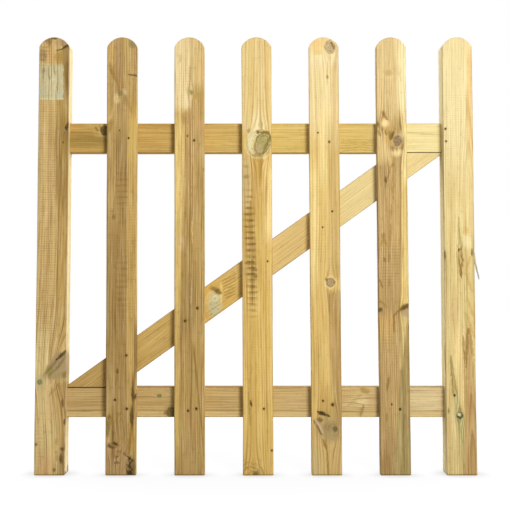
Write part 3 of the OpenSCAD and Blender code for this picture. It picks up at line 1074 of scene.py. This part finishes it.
pine = pale_pine(3, (-60, 24), 5.4, 4, [(678, 38, 24, 17), (5, 22, 12, 10)])
pine.ground("dcbd6d", "d1ae5f")
pine.stripes(
    (40, 330, (10, 12), (24, 22), "c4a052", 0.55, 6, 50), (390, 650, (3, 4), (32, 36), "b08b44", 0.6, 8, 30),
    (480, 640, (42, 40), None, "efd690", 0.8, 6, 30), (380, 600, (30, 32), (40, 52), "c5a152", 0.6, 8, 40),
    (540, 648, (-3, 0), (14, 22), "c8b078", 0.8, 5, 14),
    (540, 648, (15, 23), (19, 26), "dcc890", 0.6, 3, 10),
    (600, 648, (24, 26), (44, 40), "bd9648", 0.7, 6, 16), (700, 920, None, None, "dfc88c", 0.85, 3, 15),
    (705, 920, (48, 48), (53, 55), "d4ae64", 0.6, 6, 25),
    (705, 920, (20, 16), (26, 24), "d4b66a", 0.6, 5, 25))
pine.tint("dac860", (9, 80), 1, 0.25)
pine.tint("dcb088", (9, 80), 2, 0.2)
pine.spot(722, 35, 22, 13, "eee0aa", 0.65, soft=0.7, streak=0.8)
pine.figure("ac8434", 0.5)
pine.line((448, 15), (476, 14), 9, "d8a682", 0.3)
pine.saw(335, 565, 10, 31, 12.35, 0.75, "6b4e14", fade=40, sharp=-0.35, reach=8, slope=-0.03)
pine.saw(340, 560, 15, 28, 12.35, 1.0, "44300a", fade=40, sharp=-0.45, reach=8, slope=-0.03)
pine.saw(350, 440, 14, 29, 6.2, 0.6, "5f4818", fade=14, sharp=-0.2)
pine.line((345, 21), (440, 20), 6, "6b5018", 0.6)
pine.line((430, 20), (560, 17), 8, "86682a", 0.5)
pine.spots(
    (403, 27, 3.5, 3.5, "3f2f08", 0.6), (416, 26, 2.5, 5, "4f3c0c", 0.55), (430, 11, 3, 6, "80601c", 0.8))
pine.arcs(-4, 20, 42, 30, 5, "7f6626", 0.75)
pine.spot(3, 26, 5, 6, "5a4a28", 0.8)
pine.line((100, 16), (168, 12), 5, "9a7a34", 0.8)
pine.crack((138, 18), (152, 16), 5, "4a360c", 0.9)
pine.line((160, 12), (225, 18), 4, "a5853c", 0.6)
# The big knot: a grey heart to the right, sapwood to the left, and dark bark above.
pine.knot(677, 36, 28, 25, ("dccc98", 0.75), ("9c8648", 0.7), ("eedfa4", 0.4, 1.3), turn=12)
pine.spot(686, 17, 24, 6, "dccfa0", 0.7, turn=10)
pine.knot(678, 43, 24, 15, ("a89b5e", 0.95), ("75601c", 0.8), ("b89a54", 0.5, 1.25), turn=22)
pine.spot(666, 36, 10, 8, "b59c74", 0.6)
pine.spot(701, 33, 4, 3.4, "4f3c08", 0.95, deep=1.4)
pine.crack((700, 37), (701, 58), 6, "7a5c10", 0.85, deep=0.4)
pine.lines(
    ((694, 60), (655, 42), 5, "75601f", 0.8), ((654, 20), (652, 44), 6, "8f7436", 0.8),
    ((645, 24), (641, 46), 7, "b08a40", 0.7), ((690, 10), (660, 11), 3, "a89860", 0.7))
pine.spots(
    (704, 14, 5, 3, "857440", 0.7), (609, 9, 4, 6, "94793c", 0.8), (630, 8, 3, 5, "94793c", 0.6))
pine.nailed([(134, 43, 2.4), (434, 52, 2.0), (50, 59, 2.2)])
set_upright("pale_3", pine, "yellow_pale_timber")

pine = pale_pine(4, (-50, 30), 6.0, 5, [(92, 37, 22, 15), (392, 42, 12, 9), (878, 45, 13, 11)])
pine.ground("d9bb72", "cfae64")
pine.stripes(
    (100, 373, (42, 37), None, "ac8b52", 0.85, 3, 4), (110, 180, (22, 20), (44, 42), "b9974f", 0.6, 8, 20),
    (400, 740, (38, 38), None, "c3a668", 0.65, 5, 10), (-20, 72, None, (22, 16), "c9b27c", 0.75, 5, 16),
    (-20, 100, (22, 18), None, "c4a669", 0.75, 5, 30), (700, 920, None, None, "e9d5a0", 0.85, 3, 50),
    (120, 420, (18, 20), (30, 30), "cba758", 0.45, 8, 60),
    (460, 700, (18, 16), (28, 26), "cfb060", 0.3, 6, 40), (400, 640, None, (20, 18), "eed690", 0.75, 6, 40),
    (600, 760, (20, 20), (38, 36), "ebd594", 0.75, 6, 30), (690, 920, (46, 46), None, "d2b274", 0.6, 5, 40))
pine.tint("dcae74", (7, 90), 1, 0.35)
pine.tint("ccc474", (7, 90), 2, 0.3)
pine.spot(856, 48, 13, 14, "efe0b4", 0.5, soft=0.9, streak=1.0)
pine.spot(856, 18, 18, 14, "eedfb0", 0.5, soft=0.9, streak=1.0)
pine.figure("a8843a", pine.along.step(900, 100) * 0.12 + 0.37)
pine.saw(440, 640, 6, 40, 6.2, 0.12)
pine.saw(350, 430, 38, 60, 6.0, 0.25)
pine.line((74, 22), (52, 31), 6, "8f6a20", 0.9)
pine.line((58, 31), (-6, 34), 5, "94702a", 0.85)
pine.spot(102, 38, 28, 22, "a68e5a", 0.7, soft=0.7)
pine.spot(92, 14, 16, 9, "a38b5c", 0.5, soft=0.8)
pine.spot(88, 38, 21, 15, "98835a", 0.6, soft=0.6, turn=-20, streak=0.3, deep=-0.4)
pine.spot(98, 34, 7, 17, "8b774c", 0.5, soft=0.7, turn=-25, streak=0.3)
pine.arcs(90, 44, 22, 17, 3, "75633c", 0.5, turn=-20)
pine.spot(93, 48, 5, 5, "5a4c2c", 0.85)
pine.spot(111, 17, 5, 6, "6b4a2a", 0.85)
pine.crack((112, 3), (80, 21), 5, "7a5820", 0.9)
pine.line((112, 9), (84, 25), 4, "d0b8a0", 0.7)
pine.arcs(80, -6, 40, 34, 4, "b59c64", 0.5)
pine.crack((129, 11), (118, 38), 7, "3f2e06", 0.95)
pine.spot(125, 19, 4, 5, "46330a", 0.95, deep=1.2)
pine.knot(391, 41, 10, 9.5, ("a38a60", 0.9), ("9c8250", 0.4), ("e6cd8c", 0.8, 1.6), turn=20)
pine.spot(397, 33, 4, 3.4, "7a5c28", 0.9)
pine.spot(391, 49, 4, 2.6, "8a7040", 0.8)
pine.knot(879, 44, 14, 10.5, ("b8a07a", 0.85), ("a08a58", 0.5), ("e2c890", 0.6, 1.6), turn=-10)
pine.line((890, 47), (874, 53), 5, "75581c", 0.95)
pine.spot(884, 18, 14, 14, "e0b468", 0.6, soft=0.8, streak=0.6)
pine.spot(868, 19, 6, 8, "cdb860", 0.6, streak=1.0)
pine.line((850, 39), (800, 38), 3, "b8945c", 0.6)
pine.spot(816, 38, 3.5, 2.4, "9c7a40", 0.9)
pine.nailed([
    (142.5, 43.5, 3.4), (150, 24, 2.3), (504, 26, 1.8), (537, 46, 2.2), (681, 41, 2.3), (700, 18, 1.9)])
set_upright("pale_4", pine, "yellow_pale_timber")

knots = [(335, 3, 8, 6), (330, 55, 12, 9), (682, 43, 14, 12), (718, 16, 9, 8)]
pine = pale_pine(5, (-60, 40), 3.6, 5, knots)
pine.ground("c0a06c", "b0915e")
pine.stripes(
    (-20, 305, (24, 52), None, "a39460", 0.75, 9, 20), (90, 200, (-5, -5), (22, 22), "a68a54", 0.4, 8, 20),
    (100, 290, (44, 45), None, "9c8450", 0.7, 5, 30), (280, 345, (40, 44), None, "b8965a", 0.5, 6, 12),
    (-20, 100, (-5, 0), (30, 28), "a98a5a", 0.6, 8, 30), (280, 325, (3, 5), (27, 29), "cda566", 0.7, 5, 20),
    (215, 325, (42, 46), (47, 57), "dcc384", 0.7, 3, 8), (345, 920, (46, 48), None, "e2c882", 0.9, 2.5, 6),
    (640, 705, None, (28, 24), "e5cb90", 0.8, 7, 14), (730, 920, None, None, "dcc18c", 0.85, 3, 30),
    (740, 920, (42, 42), None, "f0dfb2", 0.85, 4, 20), (780, 920, (-5, -5), (44, 44), "dcc394", 0.5, 6, 30),
    (600, 720, (48, 48), None, "f2dda2", 0.85, 5, 20))
pine.tint("b8a070", (10, 60), 1, 0.3)
pine.tint("d0a878", (10, 50), 2, 0.3)
pine.spot(818, 26, 8, 14, "e2c896", 0.6, streak=1.0)
pine.spot(672, 12, 26, 10, "dcc08c", 0.6, streak=1.0)
pine.figure("8a6832", pine.along.step(900, 600) * 0.15 + 0.45)
pine.saw(240, 300, 4, 34, 6.2, 0.4)
pine.saw(380, 480, 4, 44, 6.2, 0.45, sharp=0.0)
pine.spot(185, 17, 14, 2.4, "7f5f2c", 0.8, turn=8)
pine.spot(118, 13, 9, 2, "8f6a38", 0.7)
pine.spot(20, 13, 26, 9, "937043", 0.6)
pine.line((288, 31), (328, 31), 4, "8a6428", 0.85)
pine.spot(335, 2, 5, 5, "4a3818", 0.95, deep=1.5)
pine.line((352, -2), (350, 8), 5, "94702c", 0.85)
pine.line((351, 6), (340, 17), 5, "94702c", 0.8)
pine.spot(328, 56, 8, 7, "a8927a", 0.85)
pine.line((350, 68), (335, 42), 6.5, "6b4f14", 0.95)
pine.line((337, 44), (322, 31), 4, "7d6022", 0.8)
pine.crack((344, 66), (333, 44), 4, "5a4210", 0.8)
pine.spot(342, 56, 4, 7, "64480f", 0.8)
pine.line((398, 1), (378, 10), 4, "80602a", 0.8)
pine.spot(437, 13, 5, 2.2, "75561e", 0.75, turn=-20)
pine.line((484, 11), (464, 5), 4.5, "94702a", 0.7)
pine.line((484, 11), (466, 18), 4.5, "94702a", 0.7)
pine.spot(487, 11, 6, 4, "8a6624", 0.8)
for start, end, middle in ((378, 402, 21), (430, 452, 21), (462, 512, 25), (520, 552, 27), (550, 650, 32)):
    pine.line((start, middle), (end, middle + 1.5), 3.6, "8f6e30", 0.7)
pine.line((586, 15), (634, 30), 3.6, "7b5b2a", 0.6)
pine.spot(602, 17, 7, 2.8, "5f4219", 0.85)
pine.spot(632, 33, 4, 3, "8f6a24", 0.8)
# The group of knots: a cream one, a grey one below it, and bark between them.
pine.spot(690, 27, 17, 10, "b38f48", 0.6)
pine.spot(658, 41, 7, 10, "efd7a2", 0.7, soft=0.7, streak=0.1)
pine.spot(695, 29, 9, 5, "80622c", 0.75, turn=-30)
pine.knot(683, 43, 11, 8.5, ("8d755c", 0.95), ("70583a", 0.6), ("c9ae7c", 0.6, 1.7), turn=18)
pine.spot(697, 53, 9, 5, "ddc897", 0.6, soft=0.8, streak=0.3)
pine.lines(
    ((704, 36), (684, 27), 6, "5a4410", 0.85), ((706, 16), (694, 21), 4, "7d5c24", 0.8),
    ((706, 1), (692, 8), 5, "8a6830", 0.7))
pine.spot(717, 2, 5, 4, "6f5018", 0.9, soft=0.8, deep=1.2)
pine.spot(720, 17, 13, 12, "b58e50", 0.7)
pine.spot(720, 17, 8, 8, "ecd2a2", 0.9, soft=0.7, streak=0.2)
pine.spot(741, 14, 4, 4, "80581e", 0.7, soft=0.8)
pine.line((742, 13), (726, 23), 4, "80581e", 0.8)
pine.spot(668, 36, 5, 5, "947c50", 0.75)
pine.line((672, 28), (660, 34), 4, "80663a", 0.7)
pine.spot(825, 26, 6, 9, "b39a62", 0.75)
pine.nailed([(133, 41, 2.8), (143, 24, 2.0)])
pine.season("fdfdef")
set_upright("pale_5", pine, "brown_pale_timber")


# ---------------------------------------------------------------- Nails
# Wire nails hold the pales to the rails and the brace, and pin the tenons of
# the stiles. Their domed steel heads are driven just below the face.
steel = new_material("nail steel")
place = Wire.node("ShaderNodeTexCoord", output="Object")
rust = Wire.node("ShaderNodeTexNoise", None, {"Vector": place, "Scale": 700.0, "Detail": 2.0})
coat = blend("38240a", "63441a", rust.step(0.4, 0.62))
finish = {"Base Color": coat, "Metallic": rust.step(0.5, 0.3) * 0.3, "Roughness": 0.6 + rust * 0.3}
finish["Specular IOR Level"] = 0.15
cover(Wire.node("ShaderNodeBsdfPrincipled", None, finish))


def nail_tree():
    """A low domed head at each point, as large as the point's own size says."""
    tree = bpy.data.node_groups.new("nail heads", "GeometryNodeTree")
    add_sockets(tree, "OUTPUT", "Geometry", "Heads")
    for kind, label in (("Geometry", "Points"), ("Float", "Dome"), ("Int", "Seed"), ("Material", "Steel")):
        add_sockets(tree, "INPUT", kind, label)
    Wire.tree = tree
    points, dome, seed, material = (Wire(socket) for socket in tree.nodes.new("NodeGroupInput").outputs[:4])
    ball = {"Segments": 12, "Rings": 6, "Radius": 1.0}
    head = Wire.node("GeometryNodeMeshUVSphere", None, ball)
    flat = Wire.node("ShaderNodeCombineXYZ", None, {0: 1.0, 1: dome, 2: 1.0})
    head = Wire.node("GeometryNodeTransform", None, {"Geometry": head, "Scale": flat})
    span = {"Min": (-0.12, -3.1, -0.12), "Max": (0.12, 3.1, 0.12), "Seed": seed}
    turn = Wire.node("FunctionNodeRandomValue", {"data_type": "FLOAT_VECTOR"}, span)
    size = Wire.node("GeometryNodeInputNamedAttribute", {"data_type": "FLOAT"}, {"Name": "size"})
    driven = {"Points": points, "Instance": head, "Rotation": turn, "Scale": size}
    return close_tree(tree, Wire.node("GeometryNodeInstanceOnPoints", None, driven), material)


NAIL_DOME = 0.24
nail_values = {"Dome": NAIL_DOME, "Seed": 4, "Steel": steel}
nails = make_piece("nails", nail_tree(), nail_values, nail_points, nail_sizes)
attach(nails, "root")


# ---------------------------------------------------------------- Splinter
# A thin grey splinter has lifted from the latch stile's outer edge, half way
# up. It hangs down and outwards, and is still held at its upper end.
SPLINTER_SIDES = 8
SPLINTER_STEPS = 14
SPLINTER_HALF_WIDTH = 2.0
SPLINTER_HALF_DEPTH = 0.6
SPLINTER_PATH = ((466, 58.5, 1.6), (452, 60.6, 1.2), (436, 62.6, 1.0), (418, 66.0, 1.0), (397, 70.8, 1.4))


def splinter_point(part):
    """A place on the splinter's middle line: along, across and deep, in the stile's millimetres."""
    spot = part * (len(SPLINTER_PATH) - 1)
    first = min(int(spot), len(SPLINTER_PATH) - 2)
    ends = (Vector(SPLINTER_PATH[first]), Vector(SPLINTER_PATH[first + 1]))
    return ends[0].lerp(ends[1], spot - first)


corners, faces = [], []
for step in range(SPLINTER_STEPS + 1):
    part = step / SPLINTER_STEPS
    along, across, depth = splinter_point(part)
    stout = 0.25 + 0.75 * math.sin(math.pi * (0.12 + 0.8 * part)) ** 0.7
    for side in range(SPLINTER_SIDES):
        angle = -math.tau * side / SPLINTER_SIDES
        wide = math.cos(angle) * SPLINTER_HALF_WIDTH * stout * (1 + 0.15 * math.sin(step * 2.1 + side))
        deep = math.sin(angle) * SPLINTER_HALF_DEPTH * stout
        corners.append(Vector(latch_low) + Vector((across + wide, depth + deep, along)) * MM)
for step in range(SPLINTER_STEPS):
    for side in range(SPLINTER_SIDES):
        beside = (side + 1) % SPLINTER_SIDES
        lower, upper = step * SPLINTER_SIDES, (step + 1) * SPLINTER_SIDES
        faces.append((lower + side, lower + beside, upper + beside, upper + side))
faces.append(tuple(reversed(range(SPLINTER_SIDES))))
faces.append(tuple(range(SPLINTER_STEPS * SPLINTER_SIDES, (SPLINTER_STEPS + 1) * SPLINTER_SIDES)))
sliver = bpy.data.meshes.new("splinter")
sliver.from_pydata(corners, [], faces)
sliver.polygons.foreach_set("use_smooth", [True] * len(faces))
splinter = bpy.data.objects.new("splinter", sliver)
scene.collection.objects.link(splinter)

weathered = new_material("weathered pine")
x, y, z = Wire.node("ShaderNodeTexCoord", output="Object").parts()
fibres = Wire.node("ShaderNodeCombineXYZ", None, {0: x * 900 + z * 200, 1: y * 900, 2: z * 30})
fibre = Wire.node("ShaderNodeTexNoise", None, {"Vector": fibres, "Scale": 1.0, "Detail": 2.0})
bump = Wire.node("ShaderNodeBump", None, {"Distance": MM, "Height": fibre * 0.2})
finish = {"Base Color": blend("8f876f", "c2b998", fibre.step(0.35, 0.65)), "Normal": bump}
finish["Roughness"] = 0.7 + fibre * 0.2
cover(Wire.node("ShaderNodeBsdfPrincipled", None, finish))
splinter.data.materials.append(weathered)
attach(splinter, "root")
